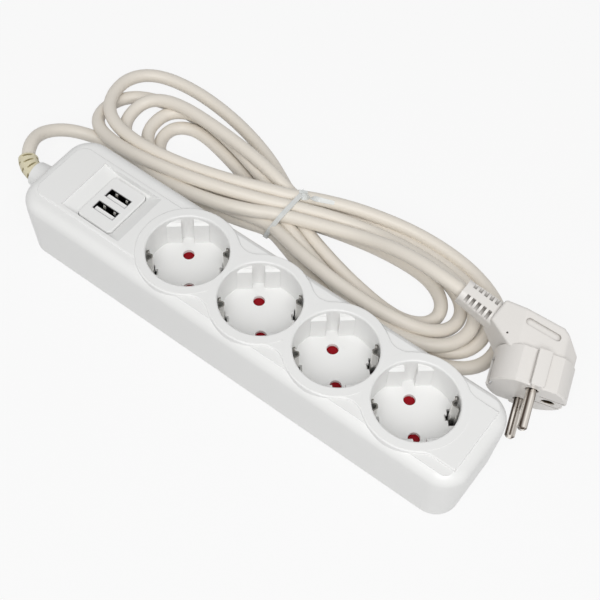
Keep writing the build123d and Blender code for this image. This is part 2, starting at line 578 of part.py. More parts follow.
hank += chamfer(heap.faces().sort_by(Axis.Z)[-1].edges(), 2.0)

# Tie round the waist of the hank, with its free end lying on top
tie_x0 = TIE_X - TIE_W / 2
tie_x1 = TIE_X + TIE_W / 2
waist = bar(tie_x0, tie_x1, WAIST_NEAR, WAIST_FAR, TIE_T, HANK_TOP)
loop = bar(tie_x0, tie_x1, WAIST_NEAR - TIE_T, WAIST_FAR + TIE_T, 0, HANK_TOP + TIE_T)
tail_y = WAIST_FAR - 3.6
tie = loop - waist + bar(TIE_X, TIE_X + TIE_TAIL, tail_y - TIE_W, tail_y, HANK_TOP, HANK_TOP + TIE_T)
hank = hank - loop + (hank & waist)
plug_body = seat * body
hank -= plug_body
save("lead_hank", hank)
save("cable_tie", tie)

# Lead from the clamp through the grommet to the hank
knee = Vector(HUB_END - BEND_R * tan(radians(BEND_TURN / 2)), 0, CORD_Z)
leave = knee + Vector(-cos(radians(BEND_TURN)), sin(radians(BEND_TURN)), 0) * 13.0
rest_z = CORD_R + 0.05
lead_pts = [(CLAMP_X + 7.0, 0, CORD_Z), tuple(knee), tuple(leave), (-158.0, 22.0, 14.5), (-154.0, 35.0, 9.0)]
lead_pts += [(-142.0, 43.5, 5.0), (-124.0, 46.8, rest_z), (-98.0, 45.5, rest_z), (-72.0, 43.2, rest_z)]
lead_pts += [(-48.0, 50.0, rest_z)]
lead = tube("lead_cord", lead_pts, CORD_R, [BEND_R] + bend_radii(lead_pts[1:]))
save("lead_cord", lead - hank)

# Lead from the hank to the plug's strain relief
inner = (seat * relief_at * Pos(0, 0, 2.0)).position
outer = (seat * relief_at * Pos(0, 0, RELIEF_LONG + 8.0)).position
plug_pts = [(-26.0, 63.5, 10.4), (-10.0, 66.5, 11.5), (12.0, 70.0, 17.5), (36.0, 68.5, 28.0)]
plug_pts += [tuple(outer), tuple(inner)]
plug_cord = tube("plug_cord", plug_pts, CORD_R, bend_radii(plug_pts))
save("plug_cord", plug_cord - hank)
save("plug_body", plug_body - plug_cord)
print("plug lowest", round(plug_body.bounding_box().min.Z, 3))


def bend_plane(angle):
    a = radians(angle)
    origin = (HUB_END - BEND_R * sin(a), BEND_R * (1 - cos(a)), CORD_Z)
    return Plane(origin=origin, z_dir=(-cos(a), sin(a), 0))


# Grommet with an inner flange and a bent sleeve, slotted on alternate sides
bush_x = -LENGTH / 2 + WALL + 1.0
bush = rod_x(bush_x, HUB_END, 0, CORD_Z, BUSH_R)
bush += rod_x(bush_x, bush_x + 1.5, 0, CORD_Z, BUSH_R + BUSH_FLANGE)
bend = ThreePointArc(*[bend_plane(a).origin for a in (0, BEND_TURN / 2, BEND_TURN)])
bush += sweep(bend_plane(0) * Circle(SLEEVE_R), path=bend)
for k in range(6):
    for turn in (90 * (k % 2), 90 * (k % 2) + 180):
        slot = Rot(0, 0, turn) * Pos(SLEEVE_R + 0.2, 0, 0) * Box(2.4, 7.6, SLEEVE_SLOT)
        bush -= bend_plane(5.0 + k * (BEND_TURN - 10.0) / 5) * slot
save("entry_bush", bush - lead)

# Clamp that grips the cord inside, and its screws
clamp = bar(-CLAMP_L / 2, CLAMP_L / 2, -CLAMP_W / 2, CLAMP_W / 2, 0, CLAMP_T)
clamp += rod_x(-CLAMP_L / 2, CLAMP_L / 2, 0, 0, CORD_R + CLAMP_T)
clamp &= bar(-CLAMP_L, CLAMP_L, -CLAMP_W, CLAMP_W, 0, 20)
clamp = Pos(CLAMP_X, 0, CORD_Z) * clamp - rod_x(CLAMP_X - CLAMP_L, CLAMP_X + CLAMP_L, 0, CORD_Z, CORD_R)
clamp_screws = []
for x, y in clamp_at:
    clamp -= rod(x, y, CORD_Z - 1, CORD_Z + 5, 1.2)
    head = rod(x, y, CORD_Z + CLAMP_T, CORD_Z + CLAMP_T + 1.6, 2.4)
    clamp_screws.append(rod(x, y, CORD_Z - 9, CORD_Z + CLAMP_T, 1.2) + head)
save("cord_clamp", clamp)
save("clamp_screws", Compound(children=clamp_screws))

# Three cores from the clamped cord to the rails and the earth strip
start_x = CLAMP_X + 7.0
crimp_end = crimp_x + CRIMP_L - 0.4
for node, side in (("live_core", 1), ("neutral_core", -1)):
    core_pts = [(start_x, side * 1.5, CORD_Z + 0.9), (start_x + 5, side * 3.4, CORD_Z - 4.0)]
    core_pts += [(start_x + 10, side * 5.6, CORD_Z - 10.5), (start_x + 20, side * 7.6, crimp_z + 1.1)]
    core_pts += [(crimp_x - 9, side * rail_y, crimp_z), (crimp_end, side * rail_y, crimp_z)]
    save(node, tube(node, core_pts, CORE_R, bend_radii(core_pts)) - lead)
strip_mid = STRIP_Z + STRIP_T / 2
earth_pts = [(start_x, 0, CORD_Z - 1.7), (start_x + 5, 0, CORD_Z - 6.5), (start_x + 14, 0, CORD_Z - 11.0)]
earth_pts += [(start_x + 26, 0, CORD_Z - 11.4), (rail_x0 - 10, 0, strip_mid - 2.4), (rail_x0, 0, strip_mid)]
save("earth_core", tube("earth_core", earth_pts, CORE_R, bend_radii(earth_pts)) - lead)
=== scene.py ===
from math import cos, exp, pi, radians, sin

import bmesh
import bpy
import numpy as np
from mathutils import Matrix, Vector


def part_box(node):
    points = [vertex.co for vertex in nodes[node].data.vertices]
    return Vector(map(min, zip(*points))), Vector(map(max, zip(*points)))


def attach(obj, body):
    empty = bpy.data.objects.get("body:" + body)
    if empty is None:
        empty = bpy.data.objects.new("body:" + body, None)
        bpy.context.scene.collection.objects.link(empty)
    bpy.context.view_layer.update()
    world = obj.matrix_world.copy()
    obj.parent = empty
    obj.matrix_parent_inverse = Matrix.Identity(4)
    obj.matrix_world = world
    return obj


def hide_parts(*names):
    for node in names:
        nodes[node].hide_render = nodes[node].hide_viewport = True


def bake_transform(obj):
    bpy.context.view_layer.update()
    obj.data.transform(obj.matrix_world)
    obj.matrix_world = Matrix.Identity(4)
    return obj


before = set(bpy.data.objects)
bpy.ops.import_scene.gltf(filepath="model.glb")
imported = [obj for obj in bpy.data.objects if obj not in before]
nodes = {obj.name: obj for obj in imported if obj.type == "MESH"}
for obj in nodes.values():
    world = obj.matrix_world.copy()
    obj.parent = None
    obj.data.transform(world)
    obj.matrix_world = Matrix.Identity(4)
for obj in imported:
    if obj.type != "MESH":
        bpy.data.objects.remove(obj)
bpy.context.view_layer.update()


# Top cover, base cover and USB panel: the white shells of the housing.
# They are moulded in a stiff, slightly glossy plastic with a very fine spark-eroded grain,
# and six screws from below pull the two covers together.
CLOUD_SCALE = 22.0
GRAIN_STRENGTH = 0.35
GLOSS_SPREAD = 0.10
PLASTIC_IOR = 1.49


class Shade:
    """A socket of a material's node tree, on which arithmetic adds Math nodes."""

    def __init__(self, tree, socket=None):
        self.tree = tree
        self.socket = socket

    def node(self, kind, settings=None, inputs=None, output=0):
        """Add a node, with its settings first and then the values or links of its sockets."""
        made = self.tree.nodes.new(kind)
        for name, value in (settings or {}).items():
            setattr(made, name, value)
        for name, value in (inputs or {}).items():
            if isinstance(value, Shade):
                self.tree.links.new(value.socket, made.inputs[name])
            else:
                made.inputs[name].default_value = value
        return Shade(self.tree, made.outputs[output])

    def maths(self, operation, first, second):
        return self.node("ShaderNodeMath", {"operation": operation}, {0: first, 1: second})

    def mix(self, factor, first, second):
        """Blend of two colours: the first where the factor is 0, the second where it is 1."""
        return self.node("ShaderNodeMix", {"data_type": "RGBA"}, {0: factor, 6: first, 7: second}, 2)

    def __add__(self, other):
        return self.maths("ADD", self, other)

    def __radd__(self, other):
        return self.maths("ADD", other, self)

    def __mul__(self, other):
        return self.maths("MULTIPLY", self, other)

    def __rmul__(self, other):
        return self.maths("MULTIPLY", other, self)


def start_material(name):
    """New material with its node tree, its shader and the place on the piece."""
    material = bpy.data.materials.new(name)
    material.use_nodes = True
    shade = Shade(material.node_tree)
    shader = material.node_tree.nodes["Principled BSDF"]
    place = shade.node("ShaderNodeTexCoord", output="Object")
    return material, shade, shader, place


def feed(shade, shader, **sockets):
    """Link each value to the shader's socket of that name."""
    for name, value in sockets.items():
        shade.tree.links.new(value.socket, shader.inputs[name.replace("_", " ")])


def moulded(name, light, dark, roughness, grain, depth):
    """Moulded plastic: faint clouds in the colour, a fine grain and slightly uneven gloss."""
    material, shade, shader, place = start_material(name)
    clouds = shade.node("ShaderNodeTexNoise", {}, {"Vector": place, "Scale": CLOUD_SCALE, "Detail": 3.0})
    fine = shade.node("ShaderNodeTexNoise", {}, {"Vector": place, "Scale": 1.0 / grain, "Detail": 2.0})
    colour = shade.mix(clouds, (*dark, 1.0), (*light, 1.0))
    bump = shade.node("ShaderNodeBump", {}, {"Strength": GRAIN_STRENGTH, "Distance": depth, "Height": fine})
    feed(shade, shader, Base_Color=colour, Roughness=roughness + GLOSS_SPREAD * clouds, Normal=bump)
    shader.inputs["IOR"].default_value = PLASTIC_IOR
    return material


def dress(material, *names):
    """Give CAD nodes one finish."""
    for name in names:
        nodes[name].data.materials.clear()
        nodes[name].data.materials.append(material)


housing_white = moulded("housing_white", light=(0.84, 0.84, 0.83), dark=(0.80, 0.80, 0.79),
                        roughness=0.30, grain=0.0006, depth=0.00002)
dress(housing_white, "top_cover", "base_cover", "usb_panel")

# Live and neutral rails and the earth strip: sheet brass stamped on a press.
# The strips run the length of the housing and their leaves grip the pins of a plug.
ROLLING_SCALE = 900.0
ROLLING_DEPTH = 0.00002
ROLLING_GLOSS = 0.16
STAIN_SCALE = 120.0


def rolled(name, light, dark, roughness, streak, relief):
    """Rolled or drawn metal: stains in its colour, and streaks along the sheet in its gloss and surface."""
    material, shade, shader, place = start_material(name)
    along = shade.node("ShaderNodeMapping", {}, {"Vector": place, "Scale": (streak, 1.0, 1.0)})
    lines = shade.node("ShaderNodeTexNoise", {}, {"Vector": along, "Scale": ROLLING_SCALE, "Detail": 3.0})
    stain = shade.node("ShaderNodeTexNoise", {}, {"Vector": place, "Scale": STAIN_SCALE, "Detail": 4.0})
    colour = shade.mix(stain, (*dark, 1.0), (*light, 1.0))
    bump = shade.node("ShaderNodeBump", {}, {"Strength": relief, "Distance": ROLLING_DEPTH, "Height": lines})
    feed(shade, shader, Base_Color=colour, Roughness=roughness + ROLLING_GLOSS * lines, Normal=bump)
    shader.inputs["Metallic"].default_value = 1.0
    return material


stamped_brass = rolled("stamped_brass", light=(0.78, 0.60, 0.28), dark=(0.62, 0.45, 0.18),
                       roughness=0.26, streak=0.15, relief=0.2)
dress(stamped_brass, "live_rail", "neutral_rail", "earth_strip")

# Earth clips: bright plated spring strip, bent to a wave at each side of a well.
# They stand in niches of the well's wall; their faces shine, and the edges that face upwards are coloured
# dark.
EDGE_STARTS = 0.94
EDGE_FULL = 0.985
EDGE_DARK = (0.17, 0.165, 0.15, 1.0)


def coloured(material):
    """Node tree of a finish, its colour so far, and the socket that a new colour goes to."""
    shade = Shade(material.node_tree)
    finish = shade.tree.nodes["Principled BSDF"].inputs["Base Color"]
    return shade, Shade(shade.tree, finish.links[0].from_socket), finish


plated_strip = rolled("plated_strip", light=(0.80, 0.79, 0.77), dark=(0.66, 0.65, 0.63),
                      roughness=0.26, streak=0.2, relief=0.2)
shade, bright_face, finish = coloured(plated_strip)
facing = shade.node("ShaderNodeTexCoord", output="Normal")
upward = shade.node("ShaderNodeSeparateXYZ", {}, {"Vector": facing}, "Z")
upward_edge = shade.node("ShaderNodeMapRange", {},
                      {"Value": upward, "From Min": EDGE_STARTS, "From Max": EDGE_FULL})
shade.tree.links.new(shade.mix(upward_edge, bright_face, EDGE_DARK).socket, finish)
dress(plated_strip, *[f"earth_clip_{i}" for i in range(1, 5)])

# Shutter cages, turning shutters, zigzag springs and the cage screws under the wells.
# The shutter is a deep red disc that closes both pin holes until two pins push it round.
# One end of its spring sits at the cage's peg, and the other at the disc.
SHUTTER_SPECULAR = 0.15
MERGE_DISTANCE = 0.00001


def make_piece(mesh, name, material):
    """Object from a bmesh, with its faces turned outwards and one finish."""
    bmesh.ops.recalc_face_normals(mesh, faces=mesh.faces)
    data = bpy.data.meshes.new(name)
    mesh.to_mesh(data)
    mesh.free()
    data.materials.append(material)
    piece = bpy.data.objects.new(name, data)
    bpy.context.scene.collection.objects.link(piece)
    return piece


cage_plastic = moulded("cage_plastic", light=(0.74, 0.74, 0.72), dark=(0.68, 0.68, 0.66),
                       roughness=0.42, grain=0.0005, depth=0.00002)
shutter_red = moulded("shutter_red", light=(0.29, 0.002, 0.008), dark=(0.21, 0.001, 0.006),
                      roughness=0.30, grain=0.0005, depth=0.00001)
shutter_red.node_tree.nodes["Principled BSDF"].inputs["Specular IOR Level"].default_value = SHUTTER_SPECULAR
spring_wire = rolled("spring_wire", light=(0.70, 0.70, 0.70), dark=(0.55, 0.55, 0.55),
                     roughness=0.22, streak=0.1, relief=0.1)
screw_zinc = rolled("screw_zinc", light=(0.66, 0.66, 0.64), dark=(0.50, 0.50, 0.49),
                    roughness=0.30, streak=0.6, relief=0.2)
dress(cage_plastic, *[f"shutter_cage_{i}" for i in range(1, 5)], "cord_clamp")
dress(shutter_red, *[f"shutter_{i}" for i in range(1, 5)])
dress(screw_zinc, "cage_screws", "cover_screws", "clamp_screws", "usb_board_screws")

for i in range(1, 5):
    spring_mesh = bmesh.new()
    spring_mesh.from_mesh(nodes[f"shutter_spring_{i}"].data)
    bmesh.ops.remove_doubles(spring_mesh, verts=spring_mesh.verts, dist=MERGE_DISTANCE)
    zigzag_spring = make_piece(spring_mesh, f"zigzag_spring_{i}", spring_wire)
    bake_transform(zigzag_spring)
    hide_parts(f"shutter_spring_{i}")

# USB receptacles: folded steel shells round a pale tongue, set flush in the raised panel.
# Two leaves of each shell's far wall spring into its mouth, and four gilt contacts lie on its tongue.
# The charger's board with its transformer and capacitor carries them from below.
# Shade deep in each mouth is painted into the steel and the tongue, darker downwards.
MOUTH_W = 0.00512
MOUTH_FALL = 0.0016
MOUTH_SHADE = (0.008, 0.008, 0.008, 1.0)
TONGUE_DROP = 0.0010
TONGUE_FACE_Y = -0.0001
FINGER_W = 0.0010
FINGER_H = 0.0060
FINGER_BOW = 0.0003
FINGER_WAVE = 0.0062
FINGER_SPAN = 0.0070
FINGER_DROP = 0.0045
LEAF_W = 0.0014
LEAF_H = 0.0030
LEAF_BOW = -0.0006
LEAF_WAVE = 0.0030
LEAF_SPAN = 0.0064
LEAF_DROP = 0.0030
LEAF_SEAT = 0.0001
SHEET_T = 0.0002
STRIP_STEPS = 6
lowest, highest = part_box("usb_shell_1")
mouth_x = (lowest[0] + highest[0]) / 2
mouth_z = highest[2]
next_lowest, next_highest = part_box("usb_shell_2")
pair_span = abs(next_lowest[1] - lowest[1] + next_highest[1] - highest[1]) / 2


def paint_shade_below(material, height, fall):
    """Paint shade into a finish, darker downwards from a height, for a narrow mouth that light hardly
    reaches.
    """
    shade, colour, finish = coloured(material)
    place = shade.node("ShaderNodeTexCoord", output="Object")
    z = shade.node("ShaderNodeSeparateXYZ", {}, {"Vector": place}, "Z")
    lit = shade.node("ShaderNodeMapRange", {}, {"Value": z, "From Min": height - fall, "From Max": height})
    shade.tree.links.new(shade.mix(lit, MOUTH_SHADE, colour).socket, finish)


def add_ribbon(mesh, places, acrosses, lifts, closed):
    """Flat band through the places, with half its width and half its thickness given as vectors."""
    rings = []
    for place, across, lift in zip(places, acrosses, lifts):
        corners = (-across - lift, across - lift, across + lift, lift - across)
        rings.append([mesh.verts.new(place + corner) for corner in corners])
    if not closed:
        mesh.faces.new(rings[0])
        mesh.faces.new(rings[-1])
    for ring, after in zip(rings, rings[1:] + (rings[:1] if closed else [])):
        for k in range(4):
            mesh.faces.new((ring[k], ring[k - 1], after[k - 1], after[k]))


def bowed_strip(name, width, height, bow, wave, material):
    """Upright strip of thin sheet round the origin, bowed along its height."""
    heights = [height * (k / STRIP_STEPS - 0.5) for k in range(STRIP_STEPS + 1)]
    places = [Vector((0.0, bow * cos(pi * z / wave), z)) for z in heights]
    strip_mesh = bmesh.new()
    add_ribbon(strip_mesh, places, [Vector((width / 2, 0.0, 0.0))] * len(places),
               [Vector((0.0, SHEET_T / 2, 0.0))] * len(places), False)
    return make_piece(strip_mesh, name, material)


def set_out(piece, columns, rows, span, depth, centre):
    """Repeat a piece on a grid of columns and rows by Geometry Nodes, then keep the plain mesh."""
    tree = bpy.data.node_groups.new(piece.name + "_rows", "GeometryNodeTree")
    sockets = {}
    for name, kind in (("Geometry", "Geometry"), ("Columns", "Int"), ("Rows", "Int"),
                       ("Column span", "Float"), ("Row span", "Float"), ("Finish", "Material")):
        sockets[name] = tree.interface.new_socket(name, in_out="INPUT", socket_type="NodeSocket" + kind)
    tree.interface.new_socket("Geometry", in_out="OUTPUT", socket_type="NodeSocketGeometry")
    given = tree.nodes.new("NodeGroupInput")
    grid = tree.nodes.new("GeometryNodeMeshGrid")
    copies = tree.nodes.new("GeometryNodeInstanceOnPoints")
    real = tree.nodes.new("GeometryNodeRealizeInstances")
    finished = tree.nodes.new("GeometryNodeSetMaterial")
    result = tree.nodes.new("NodeGroupOutput")
    for source, target in ((given.outputs["Column span"], grid.inputs["Size X"]),
                           (given.outputs["Row span"], grid.inputs["Size Y"]),
                           (given.outputs["Columns"], grid.inputs["Vertices X"]),
                           (given.outputs["Rows"], grid.inputs["Vertices Y"]),
                           (grid.outputs["Mesh"], copies.inputs["Points"]),
                           (given.outputs["Geometry"], copies.inputs["Instance"]),
                           (copies.outputs["Instances"], real.inputs["Geometry"]),
                           (real.outputs["Geometry"], finished.inputs["Geometry"]),
                           (given.outputs["Finish"], finished.inputs["Material"]),
                           (finished.outputs["Geometry"], result.inputs["Geometry"])):
        tree.links.new(source, target)
    rows_modifier = piece.modifiers.new("rows", "NODES")
    rows_modifier.node_group = tree
    settings = {"Columns": columns, "Rows": rows, "Column span": span, "Row span": depth,
                "Finish": piece.data.materials[0]}
    for name, value in settings.items():
        rows_modifier[sockets[name].identifier] = value
    whole = bpy.data.meshes.new_from_object(piece.evaluated_get(bpy.context.evaluated_depsgraph_get()))
    piece.modifiers.remove(rows_modifier)
    whole.transform(Matrix.Translation(centre))
    whole.name = piece.name
    piece.data = whole


shell_steel = rolled("shell_steel", light=(0.70, 0.70, 0.70), dark=(0.52, 0.52, 0.52),
                     roughness=0.24, streak=0.3, relief=0.2)
mouth_steel = rolled("mouth_steel", light=(0.70, 0.70, 0.70), dark=(0.52, 0.52, 0.52),
                     roughness=0.24, streak=0.3, relief=0.2)
tongue_plastic = moulded("tongue_plastic", light=(0.86, 0.86, 0.85), dark=(0.82, 0.82, 0.81),
                         roughness=0.30, grain=0.0004, depth=0.00001)
# Painted shade: the mouth's steel and the tongue darken with depth below the rim.
paint_shade_below(mouth_steel, mouth_z, MOUTH_FALL)
paint_shade_below(tongue_plastic, mouth_z - TONGUE_DROP, MOUTH_FALL)
# The leaves' steel is a paler copy of the shell steel and gets no mouth shade: painted light, so that the
# leaves stay bright in the mouth.
lit_leaf_steel = rolled("lit_leaf_steel", light=(0.95, 0.95, 0.94), dark=(0.88, 0.88, 0.87),
                    roughness=0.45, streak=0.3, relief=0.1)
contact_gilt = rolled("contact_gilt", light=(0.83, 0.66, 0.30), dark=(0.70, 0.52, 0.20),
                      roughness=0.20, streak=0.2, relief=0.1)
board_lacquer = moulded("board_lacquer", light=(0.02, 0.20, 0.07), dark=(0.012, 0.13, 0.045),
                        roughness=0.28, grain=0.0008, depth=0.00002)
ferrite_grey = moulded("ferrite_grey", light=(0.06, 0.06, 0.065), dark=(0.035, 0.035, 0.037),
                       roughness=0.62, grain=0.0004, depth=0.00004)
winding_yellow = moulded("winding_yellow", light=(0.72, 0.52, 0.07), dark=(0.62, 0.43, 0.05),
                         roughness=0.35, grain=0.0009, depth=0.00003)
capacitor_black = moulded("capacitor_black", light=(0.03, 0.03, 0.04), dark=(0.018, 0.018, 0.024),
                          roughness=0.22, grain=0.0006, depth=0.00001)
dress(mouth_steel, "usb_shell_1", "usb_shell_2")
dress(tongue_plastic, "usb_tongue_1", "usb_tongue_2")
dress(board_lacquer, "usb_board")
dress(ferrite_grey, "usb_transformer")
dress(winding_yellow, "usb_winding")
dress(capacitor_black, "usb_capacitor")

usb_contacts = bowed_strip("usb_contacts", FINGER_W, FINGER_H, FINGER_BOW, FINGER_WAVE, contact_gilt)
set_out(usb_contacts, columns=4, rows=2, span=FINGER_SPAN, depth=pair_span,
        centre=(mouth_x, TONGUE_FACE_Y, mouth_z - FINGER_DROP))
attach(usb_contacts, "housing")

usb_leaves = bowed_strip("usb_leaves", LEAF_W, LEAF_H, LEAF_BOW, LEAF_WAVE, lit_leaf_steel)
set_out(usb_leaves, columns=2, rows=2, span=LEAF_SPAN, depth=pair_span,
        centre=(mouth_x, MOUTH_W / 2 + LEAF_SEAT, mouth_z - LEAF_DROP))
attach(usb_leaves, "housing")

# Lead: one round three-core cable in a beige plastic sheath.
# It leaves the bush, turns back along the housing, is folded to and fro into a hank and ends in the plug.
# Its strands lie side by side and on each other, and are drawn together at the tie.
CORD_D = 0.0069
TIE_X = -0.031
out_of_housing = [
    (-0.1040, 0.0000, 0.0190),
    (-0.1428, 0.0000, 0.0190),
    (-0.1520, 0.0092, 0.0190),
    (-0.1580, 0.0220, 0.0145),
    (-0.1540, 0.0350, 0.0090),
    (-0.1420, 0.0435, 0.0050),
    (-0.1240, 0.0468, 0.0035),
    (-0.0980, 0.0455, 0.0035),
    (-0.0720, 0.0432, 0.0035),
    (-0.0480, 0.0470, 0.0037),
]
into_plug = [
    (-0.0084, 0.0641, 0.0160),
    (0.0120, 0.0700, 0.0175),
    (0.0360, 0.0685, 0.0280),
    (0.0640, 0.0639, 0.0347),
    (0.0894, 0.0644, 0.0289),
]
waist = [
    (0.0540, 0.0036),
    (0.0702, 0.0150),
    (0.0740, 0.0036),
    (0.0530, 0.0095),
    (0.0669, 0.0091),
    (0.0673, 0.0036),
    (0.0634, 0.0150),
    (0.0600, 0.0091),
    (0.0606, 0.0036),
    (0.0740, 0.0095),
    (0.0566, 0.0150),
]
bights = [
    {"reach": 0.0980, "middle": 0.061, "height": 0.0035, "far": 0.038, "near": 0.027, "near_first": True},
    {"reach": -0.153, "middle": 0.081, "height": 0.0035, "far": 0.029, "near": 0.038, "near_first": True,
     "flare": 0.5},
    {"reach": 0.0775, "middle": 0.064, "height": 0.0035, "far": 0.026, "near": 0.022, "near_first": False},
    {"reach": -0.128, "middle": 0.080, "height": 0.0040, "far": 0.016, "near": 0.034, "near_first": True},
    {"reach": 0.0715, "middle": 0.062, "height": 0.0035, "far": 0.026, "near": 0.022, "near_first": True},
    {"reach": -0.152, "middle": 0.061, "height": 0.0035, "far": 0.028, "near": 0.025, "near_first": False},
    {"reach": 0.0840, "middle": 0.066, "height": 0.0040, "far": 0.025, "near": 0.031, "near_first": False},
    {"reach": -0.120, "middle": 0.076, "height": 0.0035, "far": 0.017, "near": 0.031, "near_first": True},
    {"reach": 0.0910, "middle": 0.064, "height": 0.0035, "far": 0.027, "near": 0.027, "near_first": True},
    {"reach": -0.140, "middle": 0.0805, "height": 0.0050, "far": 0.010, "near": 0.036, "near_first": False},
]
POINTS_PER_BIGHT = 12
BLUNTNESS = 0.8
FIRST_WAIST = len(out_of_housing)
HELD_AT_HOUSING = 8
HELD_AT_PLUG = 4
SAMPLES = 4
ROUNDS = 200
SAME_BEND = 0.045
UPWARDS = (1, 1, 2)
NUDGE = (0, 0, 1e-6)
LEAST_BOW = 1e-9
PUSH_SHARE = 0.8
SINKING_SHARE = 0.6
LATE_SINK = 0.25
EVENNESS = 0.1
STIFFNESS = 0.4
SINK = 0.00006
LEAN = (0.354, -0.540)
TIGHTEST = 0.020


def bight_points(bight, start, end):
    """Teardrop from the tie out to the fold and back, its near and far arms spread apart."""
    points = []
    for step in range(1, POINTS_PER_BIGHT):
        angle = 2 * pi * step / POINTS_PER_BIGHT
        out = (1 - cos(angle)) / 2
        first_arm = step <= POINTS_PER_BIGHT / 2
        y, z = start if first_arm else end
        near_arm = first_arm == bight["near_first"]
        side = -bight["near"] if near_arm else bight["far"]
        flare = 1.0 if near_arm else bight.get("flare", 1.0)
        spread = abs(sin(angle)) ** BLUNTNESS * sin(angle / 2) ** flare
        x = TIE_X + (bight["reach"] - TIE_X) * out
        y += (bight["middle"] - y) * out + side * spread
        z += (bight["height"] - z) * out**2
        points.append((x, y, z))
    return points


def settle(route):
    """Lay the strands on each other in many small rounds.

    Each round parts strands that overlap, mostly upwards, lets them sink, and eases tight bends.
    A strand that rises also leans towards the camera, so that it keeps its place in the view.
    The lead's ends and the strands under the tie are held.
    """
    start = np.array(route)
    weights = np.zeros(((len(start) - 2) * SAMPLES, len(start)))
    for row in range(len(weights)):
        first = row // SAMPLES
        t = row % SAMPLES / SAMPLES
        weights[row, first:first + 3] = (1 - t) ** 2 / 2, 0.5 + t - t * t, t * t / 2
    free = np.ones((len(start), 1))
    free[:HELD_AT_HOUSING] = 0
    free[-HELD_AT_PLUG:] = 0
    free[FIRST_WAIST:-len(into_plug):POINTS_PER_BIGHT] = 0
    share = PUSH_SHARE * free / weights.sum(axis=0)[:, None]
    line = weights @ start
    run = np.append(0, np.cumsum(np.linalg.norm(np.diff(line, axis=0), axis=1)))
    one, other = np.triu_indices(len(line), 1)
    apart = run[other] - run[one] > SAME_BEND
    one, other = one[apart], other[apart]
    lowest = np.minimum(CORD_D / 2, start[:, 2])
    shift = np.zeros_like(start)
    for turn in range(ROUNDS):
        line = weights @ (start + shift)
        gap = line[one] - line[other]
        length = np.linalg.norm(gap, axis=1)
        close = length < CORD_D
        way = gap[close] * UPWARDS + NUDGE
        push = way / np.linalg.norm(way, axis=1)[:, None] * (CORD_D - length[close])[:, None]
        pushes = np.zeros((len(line), 3))
        counts = np.zeros((len(line), 1))
        np.add.at(pushes, one[close], push)
        np.add.at(pushes, other[close], -push)
        np.add.at(counts, one[close], 1)
        np.add.at(counts, other[close], 1)
        move = share * (weights.T @ (pushes / np.maximum(counts, 1)))
        sink = SINK if turn < SINKING_SHARE * ROUNDS else SINK * LATE_SINK
        move[:, 2] = np.maximum(move[:, 2] - sink * free[:, 0], lowest - start[:, 2] - shift[:, 2])
        move[:, :2] += move[:, 2:] * LEAN
        shift += move
        shift[1:-1] += EVENNESS * free[1:-1] * ((shift[2:] + shift[:-2]) / 2 - shift[1:-1])
        laid = start + shift
        bow = (laid[2:] + laid[:-2]) / 2 - laid[1:-1]
        allowed = ((laid[2:] - laid[:-2]) ** 2).sum(axis=1) / (8 * TIGHTEST)
        depth = np.maximum(np.linalg.norm(bow, axis=1), LEAST_BOW)
        bow *= STIFFNESS * np.maximum(0, 1 - allowed / depth)[:, None]
        shift[1:-1] += bow * free[1:-1]
        shift[:-2] -= bow / 2 * free[:-2]
        shift[2:] -= bow / 2 * free[2:]
    return [Vector(place) for place in start + shift]


route = out_of_housing + [(TIE_X, *waist[0])]
for bight, start, end in zip(bights, waist, waist[1:]):
    route += bight_points(bight, start, end) + [(TIE_X, *end)]
route = settle(route + into_plug)

line = bpy.data.curves.new("lead", "CURVE")
line.dimensions = "3D"
line.bevel_depth = CORD_D / 2
line.bevel_resolution = 5
line.resolution_u = 6
line.use_fill_caps = True
spline = line.splines.new("NURBS")
spline.points.add(len(route) - 1)
for point, place in zip(spline.points, route):
    point.co = (*place, 1.0)
spline.order_u = 3
spline.use_endpoint_u = True
lead = bpy.data.objects.new("lead", line)
bpy.context.scene.collection.objects.link(lead)

sheath_beige = moulded("sheath_beige", light=(0.815, 0.765, 0.690), dark=(0.760, 0.708, 0.628),
                       roughness=0.38, grain=0.0007, depth=0.00003)
line.materials.append(sheath_beige)
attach(lead, "housing")
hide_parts("lead_cord", "lead_hank", "plug_cord")

# Bush at the cable entry and the coats of the three cores inside: soft plastic.
# The bush is cast in one piece round the lead, and its rings let the lead bend without a kink.
GROOVE_DEEP = 0.25
GROOVE_OPEN = 0.85


def paint_groove_shade(material, tint, reach):
    """Paint shade into a finish: its colour falls to a darker tint in grooves about as narrow as the reach.
    """
    shade, colour, finish = coloured(material)
    opening = shade.node("ShaderNodeAmbientOcclusion", {"only_local": True}, {"Distance": reach}, "AO")
    open_share = shade.node("ShaderNodeMapRange", {},
                            {"Value": opening, "From Min": GROOVE_DEEP, "From Max": GROOVE_OPEN})
    shade.tree.links.new(shade.mix(open_share, (*tint, 1.0), colour).socket, finish)


bush_cream = moulded("bush_cream", light=(0.73, 0.68, 0.50), dark=(0.69, 0.63, 0.44),
                     roughness=0.42, grain=0.0006, depth=0.00003)
# Painted shade darkens the bush's grooves.
paint_groove_shade(bush_cream, tint=(0.30, 0.25, 0.12), reach=0.0016)
core_brown = moulded("core_brown", light=(0.16, 0.06, 0.025), dark=(0.11, 0.04, 0.017),
                     roughness=0.38, grain=0.0006, depth=0.00002)
core_blue = moulded("core_blue", light=(0.03, 0.12, 0.45), dark=(0.02, 0.08, 0.33),
                    roughness=0.38, grain=0.0006, depth=0.00002)
core_green = moulded("core_green", light=(0.55, 0.55, 0.03), dark=(0.03, 0.30, 0.05),
                     roughness=0.38, grain=0.0006, depth=0.00002)
dress(bush_cream, "entry_bush")
dress(core_brown, "live_core")
dress(core_blue, "neutral_core")
dress(core_green, "earth_core")

